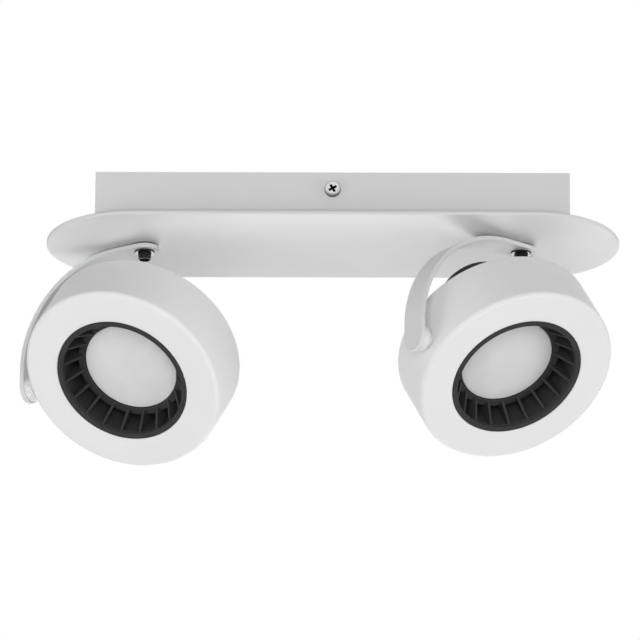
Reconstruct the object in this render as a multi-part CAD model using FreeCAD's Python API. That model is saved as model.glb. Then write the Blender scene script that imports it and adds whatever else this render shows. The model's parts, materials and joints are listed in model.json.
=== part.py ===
import FreeCAD, Part
import math
import os

# Two round spotlight heads under a steel box that fixes to a ceiling or a wall.
# Millimetres. The origin is the centre of the mounting face, at the ceiling, and +Z points into it.
# X runs along the plate, and -Y is the side of the light that is looked at.

V = FreeCAD.Vector
UP = V(0, 0, 1)

# Box and plate
plate_length = 290.0
plate_width = 88.0
plate_thickness = 2.0
plate_edge_round = 0.6
box_length = 239.0
box_width = 76.0
box_height = 23.0
box_wall = 1.2
box_edge_round = 0.6
plate_stud_diameter = 3.0
plate_stud_height = 5.5
plate_stud_inset = 12.0
plate_nut_height = 2.4
plate_nut_flats = 5.5

# Clearances
running_clearance = 0.05
slide_gap = 0.05
fit_gap = 0.2
screw_gap = 0.3

# Proportions of every pan head, as shares of its own diameter and height
head_round_share = 0.55
recess_length_share = 0.56
recess_width_share = 0.14
recess_depth_share = 0.6
recess_turn = 30.0

# Ceiling bracket, inside the box
bracket_length = 170.0
bracket_thickness = 1.5
bracket_side_gap = 0.4
flange_width = 30.0
flange_drop = 16.0
slot_spacing = 150.0
slot_width = 5.0
slot_length = 12.0
cable_hole_diameter = 14.0
cable_hole_x = -33.0
grommet_bore = 8.0
grommet_lip = 1.5
side_screw_drop = 9.5
side_screw_diameter = 4.0
side_screw_length = 7.0
side_head_diameter = 8.0
side_head_height = 2.6
earth_x = -58.0
earth_y = 24.0
earth_washer_diameter = 9.0
earth_washer_thickness = 0.8

# Driver, terminals and leads, inside the box
driver_length = 94.0
driver_width = 36.0
driver_height = 14.5
driver_left = -28.0
driver_y = -2.0
driver_edge_round = 1.2
driver_ear = 7.0
driver_ear_width = 14.0
driver_ear_thickness = 2.0
driver_screw_diameter = 3.0
terminal_length = 22.0
terminal_width = 18.0
terminal_height = 12.0
terminal_gap = 12.0
terminal_lead_gap = 2.8
terminal_poles = 3
terminal_screw_diameter = 3.4
terminal_screw_sink = 1.0
lead_diameter = 2.4
mains_lead_diameter = 1.8
right_lead_run = 8.0
lead_level_run = 9.0
# How far back from the driver and how far out each step of the left lead is, and whether it has risen yet
left_lead_steps = ((12.0, 0.0, False), (30.0, 3.0, False), (52.0, -2.0, True))

# Swivel of each head
swivel_spacing = 190.5
stud_diameter = 5.0
stud_bore = 3.0
spacer_diameter = 12.0
spacer_thickness = 0.95
washer_diameter = 10.3
washer_thickness = 0.8
washer_round = 0.3
outlet_nut_flats = 6.6
outlet_nut_height = 1.4
outlet_collar_diameter = 6.2
outlet_collar_height = 2.0
stud_end_sink = 1.0
spring_washer_thickness = 1.0
spring_washer_diameter = 10.0
stop_washer_diameter = 14.0
stop_washer_thickness = 1.0
stop_tab_width = 3.0
stop_tab_reach = 10.5
swivel_nut_flats = 8.0
swivel_nut_height = 4.0
stud_top_reach = 1.0
lead_rise = 4.0
lead_in_stud = 4.0
stop_pin_diameter = 2.5
stop_pin_radius = 9.3
stop_pin_height = 3.0

# Arm of each head
arm_width = 14.5
arm_thickness = 2.4
arm_edge_round = 0.4
arm_leg_length = 8.0
swing_clearance = 1.4
head_offset = 8.2
arm_cover = 0.8

# Tilt pivot of each head
pivot_gap = 7.0
pivot_stud_diameter = 6.0
bush_diameter = 13.0
bush_length = 4.2
bush_round = 0.6
pivot_spacer_diameter = 9.0
boss_diameter = 16.0
boss_depth = 4.3
pivot_washer_diameter = 11.0
pivot_washer_thickness = 1.0
pivot_nut_flats = 10.0
pivot_nut_height = 3.6
pivot_stud_reach = 0.8

# Drum of each head, with its face ahead of the tilt axis
drum_diameter = 103.6
drum_depth = 32.7
face_ahead = 11.4
drum_wall = 2.0
face_wall = 2.6
back_wall = 2.0
face_round = 2.4
back_round = 1.4
ring_diameter = 69.0
back_opening_diameter = 85.2

# Black ring of vanes in the face
lip_width = 2.6
lip_proud = 0.4
vane_count = 20
vane_thickness = 1.5
vane_end_sink = 0.2
vane_end_inset = 0.45
lip_chamfer = 0.3
ring_floor = 1.5
ring_skirt = 1.4
diffuser_diameter = 48.8
diffuser_depth = 13.6
diffuser_thickness = 2.0
diffuser_crown = 1.6
holder_wall = 3.6
holder_rise = 1.0
holder_spread = 1.6
pocket_depth = 6.5
post_count = 3
post_diameter = 6.5
peg_diameter = 3.0

# Light engine and heat sink of each head
reflector_wall = 1.0
reflector_mouth_diameter = 44.0
core_rise = 3.9
led_board_diameter = 40.0
led_board_thickness = 1.6
led_diameter = 17.0
led_thickness = 0.9
sink_flange_thickness = 3.0
sink_flange_gap = 0.6
sink_core_diameter = 44.0
sink_depth = 16.0
sink_neck = 3.0
sink_neck_round = 1.0
sink_block_side = 68.0
sink_block_corner = 20.0
sink_block_round = 2.5
sink_hub_diameter = 26.0
sink_skirt = 3.0
fin_count = 24
fin_thickness = 2.0
fin_depth = 11.0
shell_screw_count = 3
small_screw_diameter = 3.0
small_head_diameter = 5.5
small_head_height = 2.0
head_grommet_diameter = 8.0
head_grommet_bore = 4.0
head_grommet_proud = 2.5

# Where each head points in its stored pose: turn about the vertical, and degrees below the horizon
aims = {"left": (-1, -30.5, 50.6), "right": (1, 38.0, 54.6)}

# Sizes that follow
plate_top = -box_height
plate_under = plate_top - plate_thickness
box_floor = plate_top + box_wall
swivel_hole_diameter = stud_diameter + 2 * running_clearance
arm_top = plate_under - slide_gap - spacer_thickness
arm_under = arm_top - arm_thickness
outlet_under = arm_under - washer_thickness - outlet_nut_height - outlet_collar_height
swivel_washers_top = box_floor + slide_gap + spring_washer_thickness + stop_washer_thickness
stud_top = swivel_washers_top + swivel_nut_height + stud_top_reach
drum_radius = drum_diameter / 2
face_z = face_ahead
back_z = face_ahead - drum_depth
inner_face = face_z - face_wall
inner_back = back_z + back_wall
sink_end_z = back_z - sink_depth
sink_shoulder_z = back_z - sink_neck
sink_radius = back_opening_diameter / 2 - fit_gap
sink_corner_reach = (sink_block_side / 2 - sink_block_corner) * math.sqrt(2) + sink_block_corner
drum_swing = max(math.hypot(drum_radius, face_z), math.hypot(drum_radius, back_z))
sink_swing = max(math.hypot(sink_radius, sink_shoulder_z), math.hypot(sink_corner_reach, sink_end_z))
pivot_z = outlet_under - swing_clearance - max(drum_swing, sink_swing)
bush_outer = drum_radius + pivot_gap
arm_reach = head_offset + bush_outer + arm_thickness
arm_bend_radius = arm_top - pivot_z - arm_leg_length
boss_inner = drum_radius - drum_wall - boss_depth
pivot_hole = pivot_stud_diameter / 2 + running_clearance
holder_radius = diffuser_diameter / 2 + fit_gap
holder_outer = holder_radius + holder_wall
diffuser_front = face_z - diffuser_depth
holder_top = diffuser_front + holder_rise
ring_bottom = holder_top - pocket_depth - ring_floor
post_radius = (ring_diameter / 2 + holder_radius) / 2
sink_front = inner_back + sink_flange_thickness
sink_flange_radius = drum_radius - drum_wall - sink_flange_gap
shell_screw_radius = (sink_radius + drum_radius - drum_wall) / 2
reflector_top = diffuser_front - diffuser_thickness
core_top = sink_front + core_rise
led_board_top = core_top + led_board_thickness


def round_bar(diameter, length, base=V(0, 0, 0), along=UP):
    return Part.makeCylinder(diameter / 2, length, base, along)


def ring(outer, inner, height, base=V(0, 0, 0), along=UP):
    body = round_bar(outer, height, base, along)
    return body.cut(round_bar(inner, height, base, along))


def block(x_size, y_size, z_size, centre_x, centre_y, low_z):
    return Part.makeBox(x_size, y_size, z_size, V(centre_x - x_size / 2, centre_y - y_size / 2, low_z))


def turned(points):
    corners = [V(radius, 0, height) for radius, height in points]
    outline = Part.makePolygon(corners + [corners[0]])
    return Part.Face(outline).revolve(V(0, 0, 0), UP, 360)


def hexagon(flats, height, base=V(0, 0, 0), along=UP):
    corner = flats / math.sqrt(3)
    corners = [V(corner * math.cos(k * math.pi / 3), corner * math.sin(k * math.pi / 3), 0) for k in range(7)]
    prism = Part.Face(Part.makePolygon(corners)).extrude(V(0, 0, height))
    prism.Placement = FreeCAD.Placement(base, FreeCAD.Rotation(UP, along))
    return prism


def hex_nut(flats, height, bore, base=V(0, 0, 0), along=UP):
    return hexagon(flats, height, base, along).cut(round_bar(bore, height, base, along))


def stadium(length, width, height, low_z):
    radius = width / 2
    reach = length / 2 - radius
    middle = block(2 * reach, width, height, 0, 0, low_z)
    ends = [round_bar(width, height, V(side * reach, 0, low_z)) for side in (-1, 1)]
    return middle.fuse(ends).removeSplitter()


def level_edges(shape, height):
    return [e for e in shape.Edges if all(abs(v.Z - height) < 0.001 for v in e.Vertexes)
            and abs(e.CenterOfMass.z - height) < 0.001]


def around(count, start=0.0):
    return [math.radians(start) + k * 2 * math.pi / count for k in range(count)]


def pan_screw(shank, length, head, head_height):
    """A cross-recess pan head above z = 0, with its shank below."""
    dome = round_bar(head, head_height)
    dome = dome.makeFillet(head_height * head_round_share, level_edges(dome, head_height))
    screw = dome.fuse(round_bar(shank, length, V(0, 0, -length)))
    depth = head_height * recess_depth_share
    for turn in (recess_turn, recess_turn + 90):
        slot = block(head * recess_length_share, head * recess_width_share, depth, 0, 0, head_height - depth)
        slot.rotate(V(0, 0, 0), UP, turn)
        screw = screw.cut(slot)
    return screw


def placed(shape, base, along):
    """Turns a shape made along +Z to point along a direction, and moves it to a point."""
    copy = shape.copy()
    copy.Placement = FreeCAD.Placement(base, FreeCAD.Rotation(UP, along)).multiply(copy.Placement)
    return copy


def routed_tube(points, diameter):
    """Straight runs joined by tangent arcs, as large as the runs allow."""
    edges = []
    start = points[0]
    for before, corner, after in zip(points, points[1:], points[2:]):
        inward = (before - corner).normalize()
        outward = (after - corner).normalize()
        half_turn = (math.pi - inward.getAngle(outward)) / 2
        shorter = min((corner - before).Length, (after - corner).Length)
        cut_back = 0.45 * shorter
        radius = cut_back / math.tan(half_turn)
        first = corner + inward * cut_back
        last = corner + outward * cut_back
        centre_line = (inward + outward).normalize()
        middle = corner + centre_line * (radius / math.cos(half_turn) - radius)
        edges.append(Part.LineSegment(start, first).toShape())
        edges.append(Part.Arc(first, middle, last).toShape())
        start = last
    edges.append(Part.LineSegment(start, points[-1]).toShape())
    path = Part.Wire(edges)
    section = Part.Wire(Part.makeCircle(diameter / 2, points[0], points[1] - points[0]))
    return path.makePipeShell([section], True, False)


def make_face_plate():
    plate = stadium(plate_length, plate_width, plate_thickness, plate_under)
    plate = plate.makeFillet(plate_edge_round, level_edges(plate, plate_under) + level_edges(plate, plate_top))
    holes = [round_bar(swivel_hole_diameter, plate_thickness, V(side * swivel_spacing / 2, 0, plate_under))
             for side in (-1, 1)]
    return plate.cut(holes)


def plate_stud_places():
    reach_x = box_length / 2 - plate_stud_inset
    reach_y = box_width / 2 - plate_stud_inset
    return [(x, y) for x in (-reach_x, reach_x) for y in (-reach_y, reach_y)]


def stop_pin_places():
    return [(side * swivel_spacing / 2 + stop_pin_radius, 0) for side in (-1, 1)]


def make_box_cover():
    body = block(box_length, box_width, box_height, 0, 0, plate_top)
    upright = [e for e in body.Edges if abs(e.Vertexes[0].Z - e.Vertexes[1].Z) > 1]
    body = body.makeFillet(box_edge_round, upright)
    inside = block(box_length - 2 * box_wall, box_width - 2 * box_wall, box_height, 0, 0, box_floor)
    body = body.cut(inside)
    for side in (-1, 1):
        body = body.cut(round_bar(swivel_hole_diameter, box_wall, V(side * swivel_spacing / 2, 0, plate_top)))
        screw_hole = round_bar(side_screw_diameter + 2 * screw_gap, box_wall * 2,
                               V(0, side * box_width / 2, -side_screw_drop), V(0, -side, 0))
        body = body.cut(screw_hole)
    for x, y in plate_stud_places():
        body = body.cut(round_bar(plate_stud_diameter, box_wall, V(x, y, plate_top)))
    for x, y in stop_pin_places():
        body = body.cut(round_bar(stop_pin_diameter, box_wall, V(x, y, plate_top)))
    for x in driver_screw_places():
        body = body.cut(round_bar(driver_screw_diameter, box_wall, V(x, driver_y, plate_top)))
    return body


def make_plate_studs():
    return [round_bar(plate_stud_diameter, plate_stud_height, V(x, y, plate_top))
            for x, y in plate_stud_places()]


def make_plate_nuts():
    return [hex_nut(plate_nut_flats, plate_nut_height, plate_stud_diameter, V(x, y, box_floor))
            for x, y in plate_stud_places()]


def make_stop_pins():
    return [round_bar(stop_pin_diameter, box_wall + stop_pin_height, V(x, y, plate_top))
            for x, y in stop_pin_places()]


def make_ceiling_bracket():
    width = box_width - 2 * box_wall - 2 * bracket_side_gap
    bracket = block(bracket_length, width, bracket_thickness, 0, 0, -bracket_thickness)
    for side in (-1, 1):
        flange = block(flange_width, bracket_thickness, flange_drop, 0,
                       side * (width - bracket_thickness) / 2, -flange_drop)
        bracket = bracket.fuse(flange)
    bracket = bracket.removeSplitter()
    for side in (-1, 1):
        hole = round_bar(side_screw_diameter, bracket_thickness * 2,
                         V(0, side * width / 2, -side_screw_drop), V(0, -side, 0))
        bracket = bracket.cut(hole)
        slot = stadium(slot_length, slot_width, bracket_thickness, -bracket_thickness)
        slot.translate(V(side * slot_spacing / 2, 0, 0))
        bracket = bracket.cut(slot)
    cable_hole = round_bar(cable_hole_diameter, bracket_thickness, V(cable_hole_x, 0, -bracket_thickness))
    earth_hole = round_bar(side_screw_diameter, bracket_thickness, V(earth_x, earth_y, -bracket_thickness))
    return bracket.cut([cable_hole, earth_hole])


def make_side_screws():
    screw = pan_screw(side_screw_diameter, side_screw_length, side_head_diameter, side_head_height)
    return [placed(screw, V(0, side * box_width / 2, -side_screw_drop), V(0, side, 0)) for side in (-1, 1)]


def make_cable_grommet():
    lip_outer = cable_hole_diameter + 2 * grommet_lip
    low = ring(lip_outer, grommet_bore, grommet_lip, V(cable_hole_x, 0, -bracket_thickness - grommet_lip))
    middle = ring(cable_hole_diameter, grommet_bore, bracket_thickness, V(cable_hole_x, 0, -bracket_thickness))
    return low.fuse(middle).removeSplitter()


def make_earth_screw():
    screw = pan_screw(side_screw_diameter, bracket_thickness + earth_washer_thickness,
                      side_head_diameter, side_head_height)
    return placed(screw, V(earth_x, earth_y, -bracket_thickness - earth_washer_thickness), V(0, 0, -1))


def make_earth_washer():
    return ring(earth_washer_diameter, side_screw_diameter, earth_washer_thickness,
                V(earth_x, earth_y, -bracket_thickness - earth_washer_thickness))


def driver_screw_places():
    return [driver_left + driver_ear / 2, driver_left + driver_length - driver_ear / 2]


def make_driver():
    centre_x = driver_left + driver_length / 2
    body = block(driver_length - 2 * driver_ear, driver_width, driver_height, centre_x, driver_y, box_floor)
    body = body.makeFillet(driver_edge_round, body.Edges)
    ears = block(driver_length, driver_ear_width, driver_ear_thickness, centre_x, driver_y, box_floor)
    body = body.fuse(ears).removeSplitter()
    for x in driver_screw_places():
        body = body.cut(round_bar(driver_screw_diameter, driver_ear_thickness, V(x, driver_y, box_floor)))
    return body


def make_driver_screws():
    length = driver_ear_thickness + box_wall
    screw = pan_screw(driver_screw_diameter, length, small_head_diameter, small_head_height)
    return [placed(screw, V(x, driver_y, box_floor + driver_ear_thickness), UP) for x in driver_screw_places()]


def terminal_centre():
    return driver_left - terminal_gap - terminal_length / 2


def pole_places():
    pitch = terminal_width / terminal_poles
    return [driver_y + (k - (terminal_poles - 1) / 2) * pitch for k in range(terminal_poles)]


def terminal_screw_places():
    return [(terminal_centre() + side * terminal_length / 4, y) for side in (-1, 1) for y in pole_places()]


def make_terminal_block():
    body = block(terminal_length, terminal_width, terminal_height, terminal_centre(), driver_y, box_floor)
    left_end = terminal_centre() - terminal_length / 2
    for y in pole_places():
        entry = V(left_end, y, box_floor + terminal_height / 3)
        body = body.cut(round_bar(mains_lead_diameter + 2 * fit_gap, terminal_length, entry, V(1, 0, 0)))
    for x, y in terminal_screw_places():
        body = body.cut(round_bar(terminal_screw_diameter, terminal_height / 2,
                                  V(x, y, box_floor + terminal_height / 2)))
    return body


def make_terminal_screws():
    height = terminal_height / 2 - terminal_screw_sink
    return [round_bar(terminal_screw_diameter, height, V(x, y, box_floor + terminal_height / 2))
            for x, y in terminal_screw_places()]


def make_mains_leads():
    start_x = terminal_centre() + terminal_length / 4
    end_x = driver_left + driver_ear
    height = box_floor + terminal_height / 3
    leads = []
    for y in (pole_places()[0], pole_places()[-1]):
        leads.append(round_bar(mains_lead_diameter, end_x - start_x, V(start_x, y, height), V(1, 0, 0)))
    return leads


def make_output_leads():
    """One lead from each end of the driver, over the swivel and into its hollow stud."""
    low = box_floor + driver_height / 2
    high = stud_top + lead_rise
    in_bore = stud_top - lead_in_stud
    stud_x = swivel_spacing / 2
    driver_right = driver_left + driver_length - driver_ear
    driver_start = driver_left + driver_ear
    side_y = terminal_side_y()
    right = [V(driver_right, driver_y, low), V(driver_right + right_lead_run, driver_y, low),
             V(stud_x - lead_level_run, 0, high), V(stud_x, 0, high), V(stud_x, 0, in_bore)]
    left = [V(driver_start, side_y, low)]
    for back, out, raised in left_lead_steps:
        left.append(V(driver_start - back, side_y + out, high if raised else low))
    left += [V(lead_level_run - stud_x, 0, high), V(-stud_x, 0, high), V(-stud_x, 0, in_bore)]
    return [routed_tube(right, lead_diameter), routed_tube(left, lead_diameter)]


def terminal_side_y():
    """Where the left lead passes beside the terminal block."""
    return driver_y + terminal_width / 2 + lead_diameter / 2 + terminal_lead_gap


def make_swivel_stud():
    low = outlet_under + stud_end_sink
    return ring(stud_diameter, stud_bore, stud_top - low, V(0, 0, low))


def make_swivel_spacer():
    return ring(spacer_diameter, stud_diameter, spacer_thickness, V(0, 0, arm_top))


def make_swivel_washer():
    washer = ring(washer_diameter, stud_diameter, washer_thickness, V(0, 0, arm_under - washer_thickness))
    outer = [e for e in level_edges(washer, arm_under - washer_thickness)
             if abs(e.BoundBox.XLength - washer_diameter) < 0.01]
    return washer.makeFillet(washer_round, outer)


def make_outlet_nut():
    height = outlet_nut_height + outlet_collar_height
    nut = hexagon(outlet_nut_flats, outlet_nut_height, V(0, 0, outlet_under + outlet_collar_height))
    nut = nut.fuse(round_bar(outlet_collar_diameter, outlet_collar_height, V(0, 0, outlet_under)))
    return nut.cut(round_bar(stud_diameter, height, V(0, 0, outlet_under)))


def make_swivel_spring_washer():
    return ring(spring_washer_diameter, stud_diameter, spring_washer_thickness, V(0, 0, box_floor + slide_gap))


def make_stop_washer():
    low = swivel_washers_top - stop_washer_thickness
    disc = round_bar(stop_washer_diameter, stop_washer_thickness, V(0, 0, low))
    tab = Part.makeBox(stop_tab_reach, stop_tab_width, stop_washer_thickness, V(0, -stop_tab_width / 2, low))
    washer = disc.fuse(tab).removeSplitter()
    return washer.cut(round_bar(stud_diameter, stop_washer_thickness, V(0, 0, low)))


def make_swivel_nut():
    return hex_nut(swivel_nut_flats, swivel_nut_height, stud_diameter, V(0, 0, swivel_washers_top))


def make_arm():
    """A flat strip: level under the plate, bent in one arc, then straight down to the tilt axis."""
    bend_start = arm_reach - arm_bend_radius
    inner_radius = arm_bend_radius - arm_thickness
    bend_z = arm_top - arm_bend_radius
    diagonal = math.sqrt(0.5)
    edges = [
        Part.LineSegment(V(0, 0, arm_top), V(bend_start, 0, arm_top)),
        Part.Arc(V(bend_start, 0, arm_top),
                 V(bend_start + arm_bend_radius * diagonal, 0, bend_z + arm_bend_radius * diagonal),
                 V(arm_reach, 0, bend_z)),
        Part.LineSegment(V(arm_reach, 0, bend_z), V(arm_reach, 0, pivot_z)),
        Part.LineSegment(V(arm_reach, 0, pivot_z), V(arm_reach - arm_thickness, 0, pivot_z)),
        Part.LineSegment(V(arm_reach - arm_thickness, 0, pivot_z), V(arm_reach - arm_thickness, 0, bend_z)),
        Part.Arc(V(arm_reach - arm_thickness, 0, bend_z),
                 V(bend_start + inner_radius * diagonal, 0, bend_z + inner_radius * diagonal),
                 V(bend_start, 0, arm_under)),
        Part.LineSegment(V(bend_start, 0, arm_under), V(0, 0, arm_under)),
        Part.LineSegment(V(0, 0, arm_under), V(0, 0, arm_top)),
    ]
    outline = Part.Wire([e.toShape() for e in edges])
    strip = Part.Face(outline).extrude(V(0, arm_width, 0))
    strip.translate(V(0, -arm_width / 2, 0))
    swivel_end = round_bar(arm_width, arm_thickness, V(0, 0, arm_under))
    pivot_end = round_bar(arm_width, arm_thickness, V(arm_reach - arm_thickness, 0, pivot_z), V(1, 0, 0))
    strip = strip.fuse([swivel_end, pivot_end]).removeSplitter()
    strip = strip.makeFillet(arm_edge_round, [e for e in strip.Edges if is_rim(e)])
    swivel_end_hole = round_bar(stud_diameter, arm_thickness, V(0, 0, arm_under))
    pivot_end_place = V(arm_reach - arm_thickness, 0, pivot_z)
    pivot_end_hole = round_bar(pivot_stud_diameter, arm_thickness - arm_cover, pivot_end_place, V(1, 0, 0))
    return strip.cut([swivel_end_hole, pivot_end_hole])


def is_rim(edge):
    """An edge along the strip's outline, seen face on: not one that crosses its width or its thickness."""
    middle = edge.valueAt((edge.FirstParameter + edge.LastParameter) / 2)
    ends = [v.Point for v in edge.Vertexes]
    crosses_width = len(ends) == 2 and abs(ends[0].y - ends[1].y) > arm_width * 0.9 and abs(middle.y) < 0.01
    straight = edge.Curve.TypeId == "Part::GeomLine"
    return not (crosses_width and straight) and edge.Length > 2 * arm_thickness


def make_pivot_stud():
    start = boss_inner - slide_gap - pivot_washer_thickness - pivot_nut_height - pivot_stud_reach
    end = bush_outer + arm_thickness - arm_cover
    return round_bar(pivot_stud_diameter, end - start, V(start, 0, 0), V(1, 0, 0))


def make_pivot_bush():
    bush = ring(bush_diameter, pivot_stud_diameter, bush_length, V(bush_outer - bush_length, 0, 0), V(1, 0, 0))
    outer = [e for e in bush.Edges if abs(e.BoundBox.YLength - bush_diameter) < 0.01
             and abs(e.CenterOfMass.x - (bush_outer - bush_length)) < 0.01]
    return bush.makeFillet(bush_round, outer)


def make_pivot_spacer():
    start = drum_radius + fit_gap
    return ring(pivot_spacer_diameter, pivot_stud_diameter, bush_outer - bush_length - start,
                V(start, 0, 0), V(1, 0, 0))


def make_pivot_washer():
    start = boss_inner - slide_gap - pivot_washer_thickness
    return ring(pivot_washer_diameter, pivot_stud_diameter, pivot_washer_thickness, V(start, 0, 0), V(1, 0, 0))


def make_pivot_nut():
    start = boss_inner - slide_gap - pivot_washer_thickness - pivot_nut_height
    return hex_nut(pivot_nut_flats, pivot_nut_height, pivot_stud_diameter, V(start, 0, 0), V(1, 0, 0))


def make_drum_shell():
    drum = round_bar(drum_diameter, drum_depth, V(0, 0, back_z))
    drum = drum.makeFillet(face_round, level_edges(drum, face_z))
    drum = drum.makeFillet(back_round, level_edges(drum, back_z))
    hollow = round_bar(drum_diameter - 2 * drum_wall, inner_face - inner_back, V(0, 0, inner_back))
    boss = round_bar(boss_diameter, drum_radius - boss_inner, V(boss_inner, 0, 0), V(1, 0, 0))
    shell = drum.cut(hollow.cut(boss))
    shell = shell.cut(round_bar(ring_diameter + 2 * fit_gap, face_wall * 2, V(0, 0, inner_face - face_wall)))
    shell = shell.cut(round_bar(back_opening_diameter, back_wall * 2, V(0, 0, back_z - back_wall)))
    shell = shell.cut(round_bar(2 * pivot_hole, drum_radius, V(boss_inner - 1, 0, 0), V(1, 0, 0)))
    holes = [round_bar(small_screw_diameter, back_wall, place) for place in shell_screw_places(back_z)]
    return shell.cut(holes)


def make_vane_ring():
    """A lip in the face, a skirt behind it, a floor with a holder for the diffuser, and sloping vanes."""
    lip_top = face_z + lip_proud
    outer = ring_diameter / 2
    lip_inner = outer - lip_width
    floor_top = ring_bottom + ring_floor
    profile = [
        (lip_inner, lip_top), (outer, lip_top), (outer, ring_bottom), (holder_radius, ring_bottom),
        (holder_radius, holder_top), (holder_outer, holder_top),
        (holder_outer + holder_spread, floor_top), (outer - ring_skirt, floor_top),
        (outer - ring_skirt, face_z - lip_width),
        (lip_inner, face_z - lip_width),
    ]
    body = turned(profile)
    body = body.makeChamfer(lip_chamfer, level_edges(body, lip_top))
    vane_outline = [
        V(holder_radius + vane_end_inset, 0, floor_top - ring_floor / 2),
        V(outer - ring_skirt / 2, 0, floor_top - ring_floor / 2),
        V(outer - ring_skirt / 2, 0, face_z - lip_width / 2),
        V(lip_inner, 0, face_z - lip_width / 2),
        V(holder_radius + vane_end_inset, 0, holder_top - vane_end_sink),
    ]
    vane = Part.Face(Part.makePolygon(vane_outline + vane_outline[:1])).extrude(V(0, vane_thickness, 0))
    vane.translate(V(0, -vane_thickness / 2, 0))
    vanes = []
    for angle in around(vane_count, 180 / vane_count):
        turned_vane = vane.copy()
        turned_vane.rotate(V(0, 0, 0), UP, math.degrees(angle))
        vanes.append(turned_vane)
    post_length = ring_bottom - sink_front
    posts = [round_bar(post_diameter, post_length, place) for place in post_places(sink_front)]
    peg_length = sink_flange_thickness + post_length
    pegs = [round_bar(peg_diameter, peg_length, place) for place in post_places(inner_back)]
    return body.fuse(vanes + posts + pegs).removeSplitter()


def post_places(height):
    return [V(post_radius * math.cos(a), post_radius * math.sin(a), height) for a in around(post_count, 60)]


def shell_screw_places(height):
    radius = shell_screw_radius
    return [V(radius * math.cos(a), radius * math.sin(a), height) for a in around(shell_screw_count)]


def make_diffuser():
    """A frosted disc whose front is a shallow piece of a sphere."""
    radius = diffuser_diameter / 2
    sphere_radius = (radius ** 2 + diffuser_crown ** 2) / (2 * diffuser_crown)
    disc = round_bar(diffuser_diameter, diffuser_thickness + diffuser_crown,
                     V(0, 0, diffuser_front - diffuser_thickness))
    sphere = Part.makeSphere(sphere_radius, V(0, 0, diffuser_front + diffuser_crown - sphere_radius))
    return disc.common(sphere)


def make_reflector():
    """A white cup between the light source and the diffuser."""
    mouth = reflector_mouth_diameter / 2
    throat = led_diameter / 2 + fit_gap
    return turned([
        (mouth - reflector_wall, reflector_top), (mouth, reflector_top),
        (throat + reflector_wall, led_board_top), (throat, led_board_top),
    ])


def make_led_board():
    return round_bar(led_board_diameter, led_board_thickness, V(0, 0, led_board_top - led_board_thickness))


def make_led_source():
    return round_bar(led_diameter, led_thickness, V(0, 0, led_board_top))


def make_heat_sink():
    """A flange inside the back of the drum, a core up to the light source, a round neck in the opening
    and a rounded square block behind it, with radial slots in its end."""
    body = turned([
        (0, core_top), (sink_core_diameter / 2, core_top), (sink_core_diameter / 2, sink_front),
        (sink_flange_radius, sink_front), (sink_flange_radius, inner_back), (sink_radius, inner_back),
        (sink_radius, sink_shoulder_z), (0, sink_shoulder_z),
    ])
    body = body.makeFillet(sink_neck_round, level_edges(body, sink_shoulder_z))
    body = body.fuse(make_sink_block()).removeSplitter()
    slots = [fin_slot(angle, sink_end_z) for angle in around(fin_count, 180 / fin_count)]
    pegs = [round_bar(peg_diameter, sink_flange_thickness, place) for place in post_places(inner_back)]
    screws = [round_bar(small_screw_diameter, sink_flange_thickness, place)
              for place in shell_screw_places(inner_back)]
    lead_hole = round_bar(head_grommet_diameter, sink_depth, V(0, 0, sink_end_z))
    return body.cut(slots + pegs + screws + [lead_hole])


def make_sink_block():
    height = sink_shoulder_z - sink_end_z
    square = block(sink_block_side, sink_block_side, height, 0, 0, sink_end_z)
    upright = [e for e in square.Edges if abs(e.Vertexes[0].Z - e.Vertexes[1].Z) > height / 2]
    square = square.makeFillet(sink_block_corner, upright)
    return square.makeFillet(sink_block_round, level_edges(square, sink_end_z))


def fin_slot(angle, low):
    """The wedge of air between two fins, which keeps each fin at one thickness."""
    half = math.pi / fin_count
    reach = drum_radius
    tip = V(fin_thickness / 2 / math.sin(half), 0, 0)
    spread = (reach - tip.x) * math.tan(half)
    wedge = Part.Face(Part.makePolygon([tip, V(reach, -spread, 0), V(reach, spread, 0), tip]))
    wedge = wedge.extrude(V(0, 0, fin_depth))
    wedge = wedge.common(ring(sink_block_side - 2 * sink_skirt, sink_hub_diameter, fin_depth))
    wedge.translate(V(0, 0, low))
    wedge.rotate(V(0, 0, 0), UP, math.degrees(angle))
    return wedge


def make_head_screws():
    length = back_wall + sink_flange_thickness
    screw = pan_screw(small_screw_diameter, length, small_head_diameter, small_head_height)
    return [placed(screw, place, V(0, 0, -1)) for place in shell_screw_places(back_z)]


def make_lead_grommet():
    low = sink_end_z - head_grommet_proud
    return ring(head_grommet_diameter, head_grommet_bore, back_z - low, V(0, 0, low))


def swivel_frame(side, turn):
    """Local X runs along the arm, with local Z up, on the swivel axis."""
    arm_angle = 180 + turn
    return FreeCAD.Placement(V(side * swivel_spacing / 2, 0, 0), FreeCAD.Rotation(UP, arm_angle))


def head_frame(side, turn, dip):
    """Local Z is where the light goes and local X the tilt axis, from the drum to the arm."""
    t = math.radians(turn)
    d = math.radians(dip)
    beam = V(math.sin(t) * math.cos(d), -math.cos(t) * math.cos(d), -math.sin(d))
    along_arm = V(-math.cos(t), -math.sin(t), 0)
    across = beam.cross(along_arm)
    centre = V(side * swivel_spacing / 2, 0, pivot_z) + along_arm * head_offset
    return FreeCAD.Placement(FreeCAD.Matrix(
        along_arm.x, across.x, beam.x, centre.x,
        along_arm.y, across.y, beam.y, centre.y,
        along_arm.z, across.z, beam.z, centre.z,
        0, 0, 0, 1))


def save(name, made, frame=None):
    solids = made if isinstance(made, list) else [made]
    placed_solids = []
    for solid in solids:
        copy = solid.copy()
        if frame:
            copy.Placement = frame.multiply(copy.Placement)
        placed_solids.append(copy)
    result = placed_solids[0] if len(placed_solids) == 1 else Part.makeCompound(placed_solids)
    result.exportStep("parts/%s.step" % name)


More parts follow.
